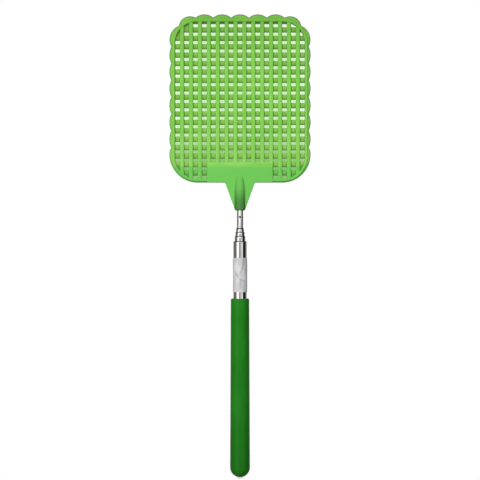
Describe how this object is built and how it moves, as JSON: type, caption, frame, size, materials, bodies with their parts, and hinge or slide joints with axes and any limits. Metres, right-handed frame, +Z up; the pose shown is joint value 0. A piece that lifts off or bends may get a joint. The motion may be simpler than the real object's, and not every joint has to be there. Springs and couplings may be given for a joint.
{
  "type": "fly swatter",
  "caption": "Telescopic fly swatter: a moulded mesh paddle with a scalloped edge on a stepped steel pole that slides out of a soft round grip.",
  "frame": {"origin": "centre of the grip's flat lower end, on the pole's axis, with the pole closed", "axes": "+Z up the pole from the grip to the paddle; the paddle's front face looks along -Y; +X to the right seen from the front"},
  "size_m": [0.0848, 0.012, 0.2776],
  "materials": {
    "leaf_green_plastic": "satin moulded polyethylene, light leaf green",
    "dark_green_rubber": "soft satin sleeve, dark green",
    "polished_steel": "polished stainless steel",
    "turned_brass": "turned, unpolished",
    "spring_bronze": "phosphor bronze strip",
    "white_paper": "matt white, creased, blank",
    "grey_nylon": "moulded nylon"
  },
  "bodies": {
    "handle": {"grip": "dark_green_rubber", "tube_5_outer": "polished_steel", "base_plug": "grey_nylon", "label_band": "white_paper"},
    "shims_4": {"friction_shim_4_left": "spring_bronze", "friction_shim_4_right": "spring_bronze"},
    "stage_4": {"tube_4": "polished_steel", "foot_4": "turned_brass"},
    "shims_3": {"friction_shim_3_left": "spring_bronze", "friction_shim_3_right": "spring_bronze"},
    "stage_3": {"tube_3": "polished_steel", "foot_3": "turned_brass"},
    "shims_2": {"friction_shim_2_left": "spring_bronze", "friction_shim_2_right": "spring_bronze"},
    "stage_2": {"tube_2": "polished_steel", "foot_2": "turned_brass"},
    "shims_1": {"friction_shim_1_left": "spring_bronze", "friction_shim_1_right": "spring_bronze"},
    "stage_1": {"tube_1_tip": "polished_steel", "foot_1": "turned_brass", "swatter_paddle": "leaf_green_plastic"}
  },
  "joints": [
    {"name": "stage_4_slide", "type": "slide", "parent": "handle", "child": "shims_4", "axis": [0, 0, 1], "range_m": [0, 0.1235]},
    {"name": "stage_4_turn", "type": "hinge", "parent": "shims_4", "child": "stage_4", "pos_m": [0, 0, 0], "axis": [0, 0, 1], "continuous": true},
    {"name": "stage_3_slide", "type": "slide", "parent": "stage_4", "child": "shims_3", "axis": [0, 0, 1], "range_m": [0, 0.1175]},
    {"name": "stage_3_turn", "type": "hinge", "parent": "shims_3", "child": "stage_3", "pos_m": [0, 0, 0], "axis": [0, 0, 1], "continuous": true},
    {"name": "stage_2_slide", "type": "slide", "parent": "stage_3", "child": "shims_2", "axis": [0, 0, 1], "range_m": [0, 0.1105]},
    {"name": "stage_2_turn", "type": "hinge", "parent": "shims_2", "child": "stage_2", "pos_m": [0, 0, 0], "axis": [0, 0, 1], "continuous": true},
    {"name": "stage_1_slide", "type": "slide", "parent": "stage_2", "child": "shims_1", "axis": [0, 0, 1], "range_m": [0, 0.1035]},
    {"name": "stage_1_turn", "type": "hinge", "parent": "shims_1", "child": "stage_1", "pos_m": [0, 0, 0], "axis": [0, 0, 1], "continuous": true}
  ]
}
